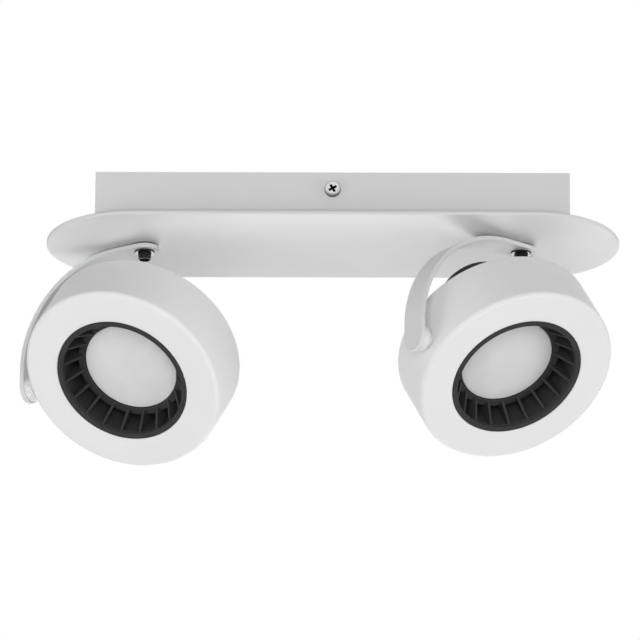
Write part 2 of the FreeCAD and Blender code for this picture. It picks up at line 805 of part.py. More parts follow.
fixed_pieces = {
    "box_cover": make_box_cover,
    "face_plate": make_face_plate,
    "plate_studs": make_plate_studs,
    "plate_nuts": make_plate_nuts,
    "stop_pins": make_stop_pins,
    "ceiling_bracket": make_ceiling_bracket,
    "side_screws": make_side_screws,
    "cable_grommet": make_cable_grommet,
    "earth_screw": make_earth_screw,
    "earth_washer": make_earth_washer,
    "driver": make_driver,
    "driver_screws": make_driver_screws,
    "terminal_block": make_terminal_block,
    "terminal_screws": make_terminal_screws,
    "mains_leads": make_mains_leads,
    "output_leads": make_output_leads,
}

swivel_pieces = {
    "arm": make_arm,
    "swivel_stud": make_swivel_stud,
    "swivel_spacer": make_swivel_spacer,
    "swivel_washer": make_swivel_washer,
    "outlet_nut": make_outlet_nut,
    "swivel_spring_washer": make_swivel_spring_washer,
    "stop_washer": make_stop_washer,
    "swivel_nut": make_swivel_nut,
}

pivot_pieces = {
    "pivot_stud": make_pivot_stud,
    "pivot_bush": make_pivot_bush,
    "pivot_spacer": make_pivot_spacer,
    "pivot_washer": make_pivot_washer,
    "pivot_nut": make_pivot_nut,
}

head_pieces = {
    "drum_shell": make_drum_shell,
    "vane_ring": make_vane_ring,
    "diffuser": make_diffuser,
    "reflector": make_reflector,
    "led_board": make_led_board,
    "led_source": make_led_source,
    "heat_sink": make_heat_sink,
    "lead_grommet": make_lead_grommet,
    "head_screws": make_head_screws,
}

os.makedirs("parts", exist_ok=True)

for name, make in fixed_pieces.items():
    save(name, make())

swivel_shapes = {name: make() for name, make in swivel_pieces.items()}
head_shapes = {name: make() for name, make in {**pivot_pieces, **head_pieces}.items()}

for hand, (side, turn, dip) in aims.items():
    for name, shape in swivel_shapes.items():
        save("%s_%s" % (hand, name), shape, swivel_frame(side, turn))
    for name, shape in head_shapes.items():
        save("%s_%s" % (hand, name), shape, head_frame(side, turn, dip))
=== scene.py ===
import json
import math

import bmesh
import bpy
from mathutils import Matrix, Vector


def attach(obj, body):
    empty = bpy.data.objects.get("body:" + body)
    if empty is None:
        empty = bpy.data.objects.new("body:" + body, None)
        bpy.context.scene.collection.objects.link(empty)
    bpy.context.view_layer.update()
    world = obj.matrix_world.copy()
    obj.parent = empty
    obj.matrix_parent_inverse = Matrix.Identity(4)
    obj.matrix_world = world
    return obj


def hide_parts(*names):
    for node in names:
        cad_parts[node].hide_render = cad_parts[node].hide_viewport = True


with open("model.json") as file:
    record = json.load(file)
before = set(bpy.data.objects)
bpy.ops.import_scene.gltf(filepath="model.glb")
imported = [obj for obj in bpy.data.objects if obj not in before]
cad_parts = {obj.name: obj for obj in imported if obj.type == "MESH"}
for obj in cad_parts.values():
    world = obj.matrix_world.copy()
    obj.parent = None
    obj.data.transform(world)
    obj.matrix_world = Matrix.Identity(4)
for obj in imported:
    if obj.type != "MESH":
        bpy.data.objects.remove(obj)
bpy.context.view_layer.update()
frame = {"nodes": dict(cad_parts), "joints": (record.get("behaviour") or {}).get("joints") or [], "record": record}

# A ceiling light with two spotlight heads. Sizes are written in millimetres and made into metres by MM.
# The frame is the model's own: +Z goes up into the ceiling, and -Y is the side that is looked at.
MM = 0.001
bodies = frame["record"]["behaviour"]["bodies"]
joints = {joint["name"]: joint for joint in frame["joints"]}

# Where each head turns and how far its beam dips below the horizon
HEADS = {"left": (-1, -30.5, 50.6), "right": (1, 38.0, 54.6)}
SWIVEL_X = 95.25

# Drum, seen from the tilt axis, with the light going towards +Z
DRUM_RADIUS = 51.8
DRUM_WALL = 2.0
FACE_Z = 11.4
FACE_WALL = 2.6
BACK_Z = -21.3
FACE_ROUND = 2.4
BACK_ROUND = 1.4
RING_HOLE_RADIUS = 34.7
BACK_HOLE_RADIUS = 42.6

# Vane ring and frosted disc
RING_RADIUS = 34.5
RING_SKIRT = 1.4
LIP_TOP = 11.8
LIP_WIDTH = 2.6
VANE_COUNT = 20
VANE_THICKNESS = 1.5
VANE_INSET = 0.45
VANE_SINK = 0.7
POCKET_FLOOR = -7.7
RING_BOTTOM = -9.2
HOLDER_BORE = 24.6
HOLDER_RADIUS = 28.2
HOLDER_FOOT = 29.8
HOLDER_TOP = -1.2
POST_CIRCLE = 29.55
POST_RADIUS = 3.25
DISC_RADIUS = 24.4
DISC_FRONT = -2.2
DISC_CROWN = 1.6
DISC_EDGE = 2.0

# Heat sink
CORE_TOP = -12.4
CORE_RADIUS = 22.0
FLANGE_TOP = -16.3
FLANGE_RADIUS = 49.2
NECK_RADIUS = 42.4
SHOULDER_Z = -24.3
SINK_END = -37.3
BLOCK_HALF = 34.0
BLOCK_CORNER = 20.0
BLOCK_ROUND = 2.5
POCKET_RADIUS = 31.0
HUB_RADIUS = 13.0
LEAD_HOLE_RADIUS = 4.0
FIN_COUNT = 24
FIN_DEPTH = 11.0
FIN_FOOT_HALF = 1.0
FIN_TIP_HALF = 0.8

# Arm
ARM_WIDTH = 14.5
ARM_THICKNESS = 2.4
ARM_TOP = -26.0
ARM_REACH = 69.4
ARM_LEG = 8.0

# Bush between arm and drum
BUSH_RADIUS = 6.5
BUSH_BORE = 3.0
BUSH_START = 54.6
BUSH_LENGTH = 4.2
BUSH_ROUND = 0.6
BUSH_RINGS = (1.35, 2.25, 3.15)
BUSH_RING_HALF = 0.2
BUSH_RING_DEPTH = 0.25

# Cover screws in the front and the rear of the box
COVER_SCREW_Y = 38.0
COVER_SCREW_Z = -9.5

# How far painted shade takes a metal face towards near black, from 0 to 1
# In the screw's cross: painted shade, with some black residue
CROSS_PAINTED_SHADE_AND_RESIDUE = 1.0
# Round the rim of the screw's head: a painted shadow
SCREW_RIM_PAINTED_SHADOW = 0.7
# On the swivel washers: painted shade and dark reflection, underneath and on the rest
WASHER_UNDERSIDE_PAINTED_SHADE = 0.72
WASHER_RIM_PAINTED_SHADE = 0.92


def material(name):
    """A new material with its shader, and the two nodes that every pattern starts from."""
    made = bpy.data.materials.new(name)
    made.use_nodes = True
    nodes = made.node_tree.nodes
    shader = nodes["Principled BSDF"]
    place = nodes.new("ShaderNodeTexCoord")
    return made, shader, place


def noise(made, place, cell_mm, detail=3.0, rough=0.5, stretch=(1, 1, 1)):
    """Noise whose cells are about cell_mm across on the object."""
    nodes, links = made.node_tree.nodes, made.node_tree.links
    scaled = nodes.new("ShaderNodeMapping")
    scaled.inputs["Scale"].default_value = stretch
    texture = nodes.new("ShaderNodeTexNoise")
    texture.inputs["Scale"].default_value = 1.0 / (cell_mm * MM)
    texture.inputs["Detail"].default_value = detail
    texture.inputs["Roughness"].default_value = rough
    links.new(place.outputs["Object"], scaled.inputs["Vector"])
    links.new(scaled.outputs["Vector"], texture.inputs["Vector"])
    return texture


def shade_between(made, source, low, high, first, last):
    """Colours from first to last as the pattern goes from low to high."""
    ramp = made.node_tree.nodes.new("ShaderNodeValToRGB")
    ramp.color_ramp.elements[0].position = low
    ramp.color_ramp.elements[1].position = high
    ramp.color_ramp.elements[0].color = (*first, 1)
    ramp.color_ramp.elements[1].color = (*last, 1)
    made.node_tree.links.new(source, ramp.inputs["Fac"])
    return ramp.outputs["Color"]


def value_between(made, source, first, last):
    """A number from first to last as the pattern goes from 0.3 to 0.7."""
    spread = made.node_tree.nodes.new("ShaderNodeMapRange")
    spread.inputs["From Min"].default_value = 0.3
    spread.inputs["From Max"].default_value = 0.7
    spread.inputs["To Min"].default_value = first
    spread.inputs["To Max"].default_value = last
    made.node_tree.links.new(source, spread.inputs["Value"])
    return spread.outputs["Result"]


def raised(made, source, height_mm, strength, under=None):
    """Bump from a pattern, laid over an earlier bump if there is one."""
    bump = made.node_tree.nodes.new("ShaderNodeBump")
    bump.inputs["Distance"].default_value = height_mm * MM
    bump.inputs["Strength"].default_value = strength
    made.node_tree.links.new(source, bump.inputs["Height"])
    if under is not None:
        made.node_tree.links.new(under, bump.inputs["Normal"])
    return bump.outputs["Normal"]


def powder_coat(name, light, dark):
    """Matte paint with a fine orange peel and a very faint change of tone."""
    made, shader, place = material(name)
    links = made.node_tree.links
    tone = noise(made, place, 38.0, 2.0)
    links.new(shade_between(made, tone.outputs["Fac"], 0.35, 0.65, dark, light), shader.inputs["Base Color"])
    peel = noise(made, place, 1.1, 2.0, 0.45)
    grain = noise(made, place, 0.28, 2.0, 0.6)
    links.new(value_between(made, peel.outputs["Fac"], 0.46, 0.56), shader.inputs["Roughness"])
    rolling = raised(made, peel.outputs["Fac"], 0.02, 0.35)
    links.new(raised(made, grain.outputs["Fac"], 0.008, 0.3, rolling), shader.inputs["Normal"])
    shader.inputs["Specular IOR Level"].default_value = 0.35
    return made


def moulded(name, light, dark, roughness, grain_mm=0.45, grain_height=0.015, specular=0.35):
    """Moulded plastic or rubber with a fine spark-eroded grain."""
    made, shader, place = material(name)
    links = made.node_tree.links
    flow = noise(made, place, 9.0, 4.0, 0.55)
    links.new(shade_between(made, flow.outputs["Fac"], 0.3, 0.7, dark, light), shader.inputs["Base Color"])
    cells = made.node_tree.nodes.new("ShaderNodeTexVoronoi")
    cells.inputs["Scale"].default_value = 1.0 / (grain_mm * MM)
    links.new(place.outputs["Object"], cells.inputs["Vector"])
    links.new(value_between(made, flow.outputs["Fac"], roughness - 0.05, roughness + 0.05),
              shader.inputs["Roughness"])
    links.new(raised(made, cells.outputs["Distance"], grain_height, 0.4), shader.inputs["Normal"])
    shader.inputs["Specular IOR Level"].default_value = specular
    return made


def plated(name, light, dark, roughness, streak=(1, 1, 1), streak_mm=0.6, metallic=1.0):
    """Bare or plated metal with fine streaks and a cloudy tone, and painted shade: near black where set to 1."""
    made, shader, place = material(name)
    nodes, links = made.node_tree.nodes, made.node_tree.links
    cloud = noise(made, place, 4.0, 5.0, 0.6)
    # The face attribute read here holds painted shade, from 0 to 1
    recess = nodes.new("ShaderNodeAttribute")
    recess.attribute_name = "recess"
    painted_shade_and_grime = nodes.new("ShaderNodeMix")
    painted_shade_and_grime.data_type = "RGBA"
    open_metal, painted_shade_colour = [socket for socket in painted_shade_and_grime.inputs
                             if socket.name in "AB" and socket.type == "RGBA"]
    links.new(recess.outputs["Fac"], painted_shade_and_grime.inputs["Factor"])
    links.new(shade_between(made, cloud.outputs["Fac"], 0.3, 0.7, dark, light), open_metal)
    # The near black colour of the painted shade
    links.new(shade_between(made, cloud.outputs["Fac"], 0.3, 0.7, (0.01, 0.01, 0.01), (0.02, 0.02, 0.02)),
              painted_shade_colour)
    links.new(next(socket for socket in painted_shade_and_grime.outputs if socket.type == "RGBA"), shader.inputs["Base Color"])
    lines = noise(made, place, streak_mm, 3.0, 0.6, streak)
    links.new(value_between(made, lines.outputs["Fac"], roughness - 0.06, roughness + 0.08),
              shader.inputs["Roughness"])
    links.new(raised(made, lines.outputs["Fac"], 0.006, 0.35), shader.inputs["Normal"])
    shader.inputs["Metallic"].default_value = metallic
    return made


def frosted(name):
    """Etched plastic: light goes a little way in, and the front has a fine satin grain."""
    made, shader, place = material(name)
    links = made.node_tree.links
    haze = noise(made, place, 14.0, 3.0)
    links.new(shade_between(made, haze.outputs["Fac"], 0.3, 0.7, (0.78, 0.785, 0.78), (0.83, 0.835, 0.83)),
              shader.inputs["Base Color"])
    etch = noise(made, place, 0.18, 2.0, 0.6)
    links.new(value_between(made, etch.outputs["Fac"], 0.38, 0.5), shader.inputs["Roughness"])
    links.new(raised(made, etch.outputs["Fac"], 0.01, 0.3), shader.inputs["Normal"])
    shader.inputs["Subsurface Weight"].default_value = 0.25
    shader.inputs["Subsurface Scale"].default_value = 0.002
    shader.inputs["Subsurface Radius"].default_value = (1.0, 1.0, 1.0)
    return made


def phosphor(name):
    """The yellow gel over the diodes, with a speckle of grains in it."""
    made, shader, place = material(name)
    links = made.node_tree.links
    speckle = noise(made, place, 0.35, 4.0, 0.7)
    links.new(shade_between(made, speckle.outputs["Fac"], 0.35, 0.65, (0.85, 0.55, 0.06), (0.95, 0.74, 0.16)),
              shader.inputs["Base Color"])
    links.new(value_between(made, speckle.outputs["Fac"], 0.25, 0.4), shader.inputs["Roughness"])
    links.new(raised(made, speckle.outputs["Fac"], 0.01, 0.3), shader.inputs["Normal"])
    return made


finishes = {
    # The steel white is set greyer than the drum white: painted shade for the plate, box and arms, which take less
    # light
    "white_steel": powder_coat("white_steel_coat", (0.735, 0.735, 0.74), (0.72, 0.72, 0.725)),
    "white_drum": powder_coat("white_drum_coat", (0.87, 0.87, 0.875), (0.855, 0.855, 0.86)),
    "white_bush": powder_coat("white_bush_coat", (0.84, 0.84, 0.84), (0.82, 0.82, 0.82)),
    "black_plastic": moulded("black_vane_plastic", (0.049, 0.049, 0.051), (0.040, 0.040, 0.042), 0.5,
                             specular=0.15),
    "black_aluminium": plated("black_anodised", (0.024, 0.024, 0.026), (0.017, 0.017, 0.019), 0.42,
                              metallic=0.0),
    "frosted_plastic": frosted("frosted_disc"),
    "white_plastic": moulded("white_moulding", (0.84, 0.84, 0.82), (0.80, 0.80, 0.78), 0.42),
    "board_white": moulded("board_resist", (0.88, 0.88, 0.86), (0.84, 0.84, 0.82), 0.3, 0.8, 0.004),
    "led_yellow": phosphor("phosphor_gel"),
    "bright_steel": plated("nickel_plate", (0.78, 0.78, 0.79), (0.64, 0.64, 0.65), 0.42),
    "zinc_steel": plated("zinc_plate", (0.66, 0.68, 0.70), (0.50, 0.51, 0.52), 0.36, (1, 6, 1)),
    "black_steel": plated("blackened_steel", (0.030, 0.030, 0.032), (0.018, 0.018, 0.019), 0.38,
                          metallic=0.6),
    "black_nylon": moulded("black_nylon", (0.045, 0.045, 0.047), (0.034, 0.034, 0.036), 0.45),
    "black_rubber": moulded("black_rubber", (0.028, 0.028, 0.029), (0.020, 0.020, 0.021), 0.7, 0.3, 0.02),
    "brass": plated("brass", (0.80, 0.62, 0.30), (0.66, 0.49, 0.21), 0.28),
    "lead_sheath": moulded("lead_sheath", (0.80, 0.80, 0.79), (0.72, 0.72, 0.71), 0.45, 0.9, 0.01),
}
for node in frame["nodes"].values():
    for holder in node.material_slots:
        holder.material = finishes[holder.material.name.split(".")[0]]


def finished(name, mesh, body, slot, *nodes):
    """A piece in its place: it rides on its body, stands for its CAD nodes and takes its slot's finish."""
    mesh.name = name
    made = bpy.data.objects.new(name, mesh)
    bpy.context.scene.collection.objects.link(made)
    mesh.materials.clear()
    mesh.materials.append(finishes[slot])
    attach(made, body)
    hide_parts(*nodes)
    return made


def evaluated(mesh, add_modifiers):
    """The mesh after its modifiers, as a plain mesh."""
    carrier = bpy.data.objects.new("carrier", mesh)
    bpy.context.scene.collection.objects.link(carrier)
    add_modifiers(carrier)
    shaped = bpy.data.meshes.new_from_object(carrier.evaluated_get(bpy.context.evaluated_depsgraph_get()))
    carrier.modifiers.clear()
    bpy.data.objects.remove(carrier)
    return shaped


def smooth(mesh, angle=35.0):
    """Smooth shading that breaks at real corners, with large faces kept flat."""
    mesh.shade_smooth()
    mesh.set_sharp_from_angle(angle=math.radians(angle))

    def weigh(carrier):
        modifier = carrier.modifiers.new("flat_faces", "WEIGHTED_NORMAL")
        modifier.keep_sharp = True
    return evaluated(mesh, weigh)


def eased(corners, steps=6):
    """An outline with its corners rounded. Each corner is (radius, height, size of the round)."""
    outline = []
    count = len(corners)
    for k, (x, z, size) in enumerate(corners):
        here = Vector((x, z))
        if not size:
            outline.append((x, z))
            continue
        before = (Vector(corners[k - 1][:2]) - here).normalized()
        after = (Vector(corners[(k + 1) % count][:2]) - here).normalized()
        half = before.angle(after) / 2
        cut = size / math.tan(half)
        centre = here + (before + after).normalized() * (size / math.sin(half))
        start = here + before * cut - centre
        end = here + after * cut - centre
        for step in range(steps + 1):
            outline.append(tuple(centre + start.normalized().slerp(end.normalized(), step / steps) * size))
    return outline


def directions(segments):
    return [k * 2 * math.pi / segments for k in range(segments)]


def rounded_square(half, corner, segments):
    """The distance from the centre of a rounded square to its edge, in each direction."""
    reach = []
    straight = half - corner
    for a in directions(segments):
        across, along = sorted((abs(math.cos(a)), abs(math.sin(a))))
        side = half / along
        if side * across > straight:
            middle = straight * (across + along)
            side = middle + math.sqrt(middle ** 2 - 2 * straight ** 2 + corner ** 2)
        reach.append(side)
    return reach


def turned(outline, segments=128, closed=True):
    """A solid round the Z axis from an outline of (radius, height) in millimetres.
    The radius can also be a list, with one radius for each direction."""
    shape = bmesh.new()
    rings = []
    for radius, height in outline:
        if radius == 0:
            rings.append([shape.verts.new((0, 0, height * MM))])
            continue
        reach = radius if isinstance(radius, list) else [radius] * segments
        rings.append([shape.verts.new((r * MM * math.cos(a), r * MM * math.sin(a), height * MM))
                      for r, a in zip(reach, directions(segments))])
    pairs = list(zip(rings, rings[1:]))
    if closed:
        pairs.append((rings[-1], rings[0]))
    for low, high in pairs:
        if len(low) == 1 and len(high) == 1:
            continue
        for k in range(segments):
            after = (k + 1) % segments
            corners = [low[k % len(low)], low[after % len(low)], high[after % len(high)], high[k % len(high)]]
            shape.faces.new(list(dict.fromkeys(corners)))
    bmesh.ops.recalc_face_normals(shape, faces=shape.faces)
    mesh = bpy.data.meshes.new("turned")
    shape.to_mesh(mesh)
    shape.free()
    return mesh


def softened(node, width_mm, angle=35.0):
    """A copy of a CAD node with its loose triangles joined and its edges broken by a small round."""
    shape = bmesh.new()
    shape.from_mesh(frame["nodes"][node].data)
    bmesh.ops.remove_doubles(shape, verts=shape.verts, dist=1e-6)
    bmesh.ops.dissolve_limit(shape, angle_limit=math.radians(1.0), verts=shape.verts, edges=shape.edges)
    mesh = bpy.data.meshes.new(node)
    shape.to_mesh(mesh)
    shape.free()
    mesh.shade_smooth()
    mesh.set_sharp_from_angle(angle=math.radians(angle))

    def break_edges(carrier):
        modifier = carrier.modifiers.new("broken_edges", "BEVEL")
        modifier.width = width_mm * MM
        modifier.segments = 2
        modifier.limit_method = "ANGLE"
        modifier.angle_limit = math.radians(angle)
        modifier.harden_normals = True
    return evaluated(mesh, break_edges)


def new_tree(name, inputs):
    """A node tree with a shape in and out and the named inputs. Returns it with its two end nodes."""
    tree = bpy.data.node_groups.new(name, "GeometryNodeTree")
    tree.interface.new_socket("Geometry", in_out="INPUT", socket_type="NodeSocketGeometry")
    for label, kind in inputs:
        tree.interface.new_socket(label, in_out="INPUT", socket_type=kind)
    tree.interface.new_socket("Geometry", in_out="OUTPUT", socket_type="NodeSocketGeometry")
    return tree, tree.nodes.new("NodeGroupInput"), tree.nodes.new("NodeGroupOutput")


def calculated(tree, operation, first, second):
    """One step of arithmetic between sockets or numbers."""
    step = tree.nodes.new("ShaderNodeMath")
    step.operation = operation
    for socket, value in zip(step.inputs, (first, second)):
        if isinstance(value, (int, float)):
            socket.default_value = value
        else:
            tree.links.new(value, socket)
    return step.outputs["Value"]


def copies_round_axis():
    """Sets copies of one shape round the Z axis and joins them to the body they stand in."""
    tree, given, result = new_tree("copies_round_axis", [
        ("Shape", "NodeSocketObject"), ("Count", "NodeSocketInt"),
        ("Start turn", "NodeSocketFloat"), ("Finish", "NodeSocketMaterial")])
    nodes, links = tree.nodes, tree.links
    shape = nodes.new("GeometryNodeObjectInfo")
    points = nodes.new("GeometryNodePoints")
    index = nodes.new("GeometryNodeInputIndex")
    turn = nodes.new("ShaderNodeCombineXYZ")
    spin = nodes.new("FunctionNodeEulerToRotation")
    placed = nodes.new("GeometryNodeInstanceOnPoints")
    joined = nodes.new("GeometryNodeJoinGeometry")
    real = nodes.new("GeometryNodeRealizeInstances")
    painted = nodes.new("GeometryNodeSetMaterial")
    step = calculated(tree, "DIVIDE", 2 * math.pi, given.outputs["Count"])
    angle = calculated(tree, "MULTIPLY", index.outputs["Index"], step)
    angle = calculated(tree, "ADD", angle, given.outputs["Start turn"])
    links.new(given.outputs["Shape"], shape.inputs["Object"])
    links.new(given.outputs["Count"], points.inputs["Count"])
    links.new(angle, turn.inputs["Z"])
    links.new(turn.outputs["Vector"], spin.inputs["Euler"])
    links.new(points.outputs["Points"], placed.inputs["Points"])
    links.new(shape.outputs["Geometry"], placed.inputs["Instance"])
    links.new(spin.outputs["Rotation"], placed.inputs["Rotation"])
    links.new(given.outputs["Geometry"], joined.inputs["Geometry"])
    links.new(placed.outputs["Instances"], joined.inputs["Geometry"])
    links.new(joined.outputs["Geometry"], real.inputs["Geometry"])
    links.new(real.outputs["Geometry"], painted.inputs["Geometry"])
    links.new(given.outputs["Finish"], painted.inputs["Material"])
    links.new(painted.outputs["Geometry"], result.inputs["Geometry"])
    return tree


def copies_at_places():
    """Sets a copy of one shape at each point, turned by the point's own "turn"."""
    tree, given, result = new_tree("copies_at_places", [
        ("Shape", "NodeSocketObject"), ("Finish", "NodeSocketMaterial")])
    nodes, links = tree.nodes, tree.links
    shape = nodes.new("GeometryNodeObjectInfo")
    turn = nodes.new("GeometryNodeInputNamedAttribute")
    turn.data_type = "FLOAT_VECTOR"
    turn.inputs["Name"].default_value = "turn"
    spin = nodes.new("FunctionNodeEulerToRotation")
    placed = nodes.new("GeometryNodeInstanceOnPoints")
    real = nodes.new("GeometryNodeRealizeInstances")
    painted = nodes.new("GeometryNodeSetMaterial")
    links.new(given.outputs["Shape"], shape.inputs["Object"])
    links.new(turn.outputs["Attribute"], spin.inputs["Euler"])
    links.new(given.outputs["Geometry"], placed.inputs["Points"])
    links.new(shape.outputs["Geometry"], placed.inputs["Instance"])
    links.new(spin.outputs["Rotation"], placed.inputs["Rotation"])
    links.new(placed.outputs["Instances"], real.inputs["Geometry"])
    links.new(real.outputs["Geometry"], painted.inputs["Geometry"])
    links.new(given.outputs["Finish"], painted.inputs["Material"])
    links.new(painted.outputs["Geometry"], result.inputs["Geometry"])
    return tree


def strip_on_path():
    """Bends a flat strip along a path: its X runs along the path, and its Z stands off it."""
    tree, given, result = new_tree("strip_on_path", [
        ("Path", "NodeSocketObject"), ("Finish", "NodeSocketMaterial")])
    nodes, links = tree.nodes, tree.links
    path = nodes.new("GeometryNodeObjectInfo")
    position = nodes.new("GeometryNodeInputPosition")
    parts = nodes.new("ShaderNodeSeparateXYZ")
    sample = nodes.new("GeometryNodeSampleCurve")
    sample.mode = "LENGTH"
    sample.use_all_curves = True
    across = nodes.new("ShaderNodeCombineXYZ")
    side = nodes.new("ShaderNodeCombineXYZ")
    side.inputs["Y"].default_value = 1.0
    outward = nodes.new("ShaderNodeVectorMath")
    outward.operation = "CROSS_PRODUCT"
    stand_off = nodes.new("ShaderNodeVectorMath")
    stand_off.operation = "SCALE"
    sum_one = nodes.new("ShaderNodeVectorMath")
    sum_two = nodes.new("ShaderNodeVectorMath")
    moved = nodes.new("GeometryNodeSetPosition")
    painted = nodes.new("GeometryNodeSetMaterial")
    links.new(given.outputs["Path"], path.inputs["Object"])
    links.new(path.outputs["Geometry"], sample.inputs["Curves"])
    links.new(position.outputs["Position"], parts.inputs["Vector"])
    links.new(parts.outputs["X"], sample.inputs["Length"])
    links.new(parts.outputs["Y"], across.inputs["Y"])
    links.new(sample.outputs["Tangent"], outward.inputs[0])
    links.new(side.outputs["Vector"], outward.inputs[1])
    links.new(outward.outputs["Vector"], stand_off.inputs[0])
    links.new(parts.outputs["Z"], stand_off.inputs["Scale"])
    links.new(sample.outputs["Position"], sum_one.inputs[0])
    links.new(across.outputs["Vector"], sum_one.inputs[1])
    links.new(sum_one.outputs["Vector"], sum_two.inputs[0])
    links.new(stand_off.outputs["Vector"], sum_two.inputs[1])
    links.new(given.outputs["Geometry"], moved.inputs["Geometry"])
    links.new(sum_two.outputs["Vector"], moved.inputs["Position"])
    links.new(moved.outputs["Geometry"], painted.inputs["Geometry"])
    links.new(given.outputs["Finish"], painted.inputs["Material"])
    links.new(painted.outputs["Geometry"], result.inputs["Geometry"])
    return tree


def through_tree(mesh, tree, values):
    """The mesh after a node tree whose named inputs are set first."""
    def add(carrier):
        modifier = carrier.modifiers.new(tree.name, "NODES")
        modifier.node_group = tree
        for item in tree.interface.items_tree:
            if item.in_out == "INPUT" and item.name in values:
                modifier[item.identifier] = values[item.name]
        carrier.update_tag()
    return evaluated(mesh, add)


round_axis_tree = copies_round_axis()
places_tree = copies_at_places()
strip_tree = strip_on_path()


def helper(name, data):
    """An object that only a tree reads, linked nowhere."""
    return bpy.data.objects.new(name, data)


def cross_screw(head_mm, height_mm, shank_mm, length_mm, steps=5):
    """A pan-head screw above z = 0 with a tapered cross cut into its head, turned by 30 degrees, and painted shade
    in the cross and round the rim.
    """
    top_round, under_round = height_mm * 0.55, head_mm * 0.02
    outline = eased([
        (0, height_mm, 0), (head_mm / 2, height_mm, top_round), (head_mm / 2, 0, under_round),
        (shank_mm / 2, 0, 0), (shank_mm / 2, -length_mm, 0.3), (0, -length_mm, 0)], steps)
    body = turned(outline, 48, closed=False)
    cutter = bmesh.new()
    mouth = (height_mm + 0.2, head_mm * 0.29 * 1.03, head_mm * 0.085 * 1.03)
    bottom = (height_mm - height_mm * 0.62, head_mm * 0.10, head_mm * 0.045)
    for degrees in (30.0, 120.0):
        turn = Matrix.Rotation(math.radians(degrees), 3, "Z")
        levels = []
        for z, a, b in (mouth, bottom):
            levels.append([cutter.verts.new(turn @ Vector((x, y, z)) * MM)
                           for x, y in ((a, b), (-a, b), (-a, -b), (a, -b))])
        top, low = levels
        cutter.faces.new(top)
        cutter.faces.new(low[::-1])
        for k in range(4):
            cutter.faces.new((top[k], low[k], low[(k + 1) % 4], top[(k + 1) % 4]))
    bmesh.ops.recalc_face_normals(cutter, faces=cutter.faces)
    recess_mesh = bpy.data.meshes.new("recess")
    cutter.to_mesh(recess_mesh)
    cutter.free()
    recess = helper("recess", recess_mesh)
    bpy.context.scene.collection.objects.link(recess)

    def cut(carrier):
        modifier = carrier.modifiers.new("recess", "BOOLEAN")
        modifier.object = recess
        modifier.solver = "EXACT"
        modifier.use_self = True
    made = evaluated(body, cut)
    bpy.data.objects.remove(recess)
    # Painted shade: near black in the cross, with some black residue, and a painted shadow round the rim of the
    # head
    cross_reach, rim_start = head_mm * 0.31, head_mm * 0.465
    painted_shade = made.attributes.new("recess", "FLOAT", "FACE")
    for face in made.polygons:
        x, y, z = face.center / MM
        from_axis = math.hypot(x, y)
        if from_axis < cross_reach and 0 < z < height_mm - 0.02:
            painted_shade.data[face.index].value = CROSS_PAINTED_SHADE_AND_RESIDUE
        elif from_axis > rim_start:
            painted_shade.data[face.index].value = SCREW_RIM_PAINTED_SHADOW
    return smooth(made, 32.0)


def facing(direction, flat=Vector((1, 0, 0))):
    """The turn, as an Euler, that points +Z along a direction and keeps X as near to flat as it can."""
    z = direction.normalized()
    y = z.cross(flat).normalized()
    x = y.cross(z)
    return Matrix((x, y, z)).transposed().to_euler()


def screws(name, shape, places, body, slot, node):
    """One copy of a screw at each (point in metres, direction)."""
    mesh = bpy.data.meshes.new(name)
    mesh.from_pydata([point for point, _ in places], [], [])
    turns = mesh.attributes.new("turn", "FLOAT_VECTOR", "POINT")
    for k, (_, direction) in enumerate(places):
        turns.data[k].vector = facing(direction)
    values = {"Shape": helper(name + "_shape", shape), "Finish": finishes[slot]}
    return finished(name, through_tree(mesh, places_tree, values), body, slot, node)


def head_place(side_name):
    """Local axes of a head: X along the tilt axis to the arm, Z where the light goes."""
    joint = joints[side_name + "_tilt"]
    _, turn, dip = HEADS[side_name]
    t, d = math.radians(turn), math.radians(dip)
    beam = Vector((math.sin(t) * math.cos(d), -math.cos(t) * math.cos(d), -math.sin(d)))
    along = Vector((-math.cos(t), -math.sin(t), 0))
    across = beam.cross(along)
    place = Matrix((along, across, beam)).transposed().to_4x4()
    place.translation = Vector(joint["pos_m"])
    return place


def arm_place(side_name):
    """Local axes of an arm: X along the arm, Z up, with the swivel axis at the origin."""
    side, turn, _ = HEADS[side_name]
    swivel = Matrix.Translation((side * SWIVEL_X * MM, 0, 0))
    return swivel @ Matrix.Rotation(math.radians(180 + turn), 4, "Z")


def bush_mesh():
    """A turned bush with fine rings cut into its side."""
    outline = [(BUSH_BORE, 0, 0), (BUSH_RADIUS, 0, BUSH_ROUND)]
    for middle in BUSH_RINGS:
        outline += [(BUSH_RADIUS, middle - BUSH_RING_HALF, 0), (BUSH_RADIUS - BUSH_RING_DEPTH, middle, 0),
                    (BUSH_RADIUS, middle + BUSH_RING_HALF, 0)]
    outline += [(BUSH_RADIUS, BUSH_LENGTH, 0.1), (BUSH_BORE, BUSH_LENGTH, 0)]
    return smooth(turned(eased(outline), 96))


def drum_shell_mesh():
    """White housing: a flat ring-shaped face, a straight side, and a lip round the back opening."""
    inner, lip_inside, face_inside = DRUM_RADIUS - DRUM_WALL, BACK_Z + DRUM_WALL, FACE_Z - FACE_WALL
    return smooth(turned(eased([
        (RING_HOLE_RADIUS, FACE_Z, 0.35), (DRUM_RADIUS, FACE_Z, FACE_ROUND),
        (DRUM_RADIUS, BACK_Z, BACK_ROUND), (BACK_HOLE_RADIUS, BACK_Z, 0.4),
        (BACK_HOLE_RADIUS, lip_inside, 0), (inner, lip_inside, 1.0),
        (inner, face_inside, 1.0), (RING_HOLE_RADIUS, face_inside, 0)], 8), 192))


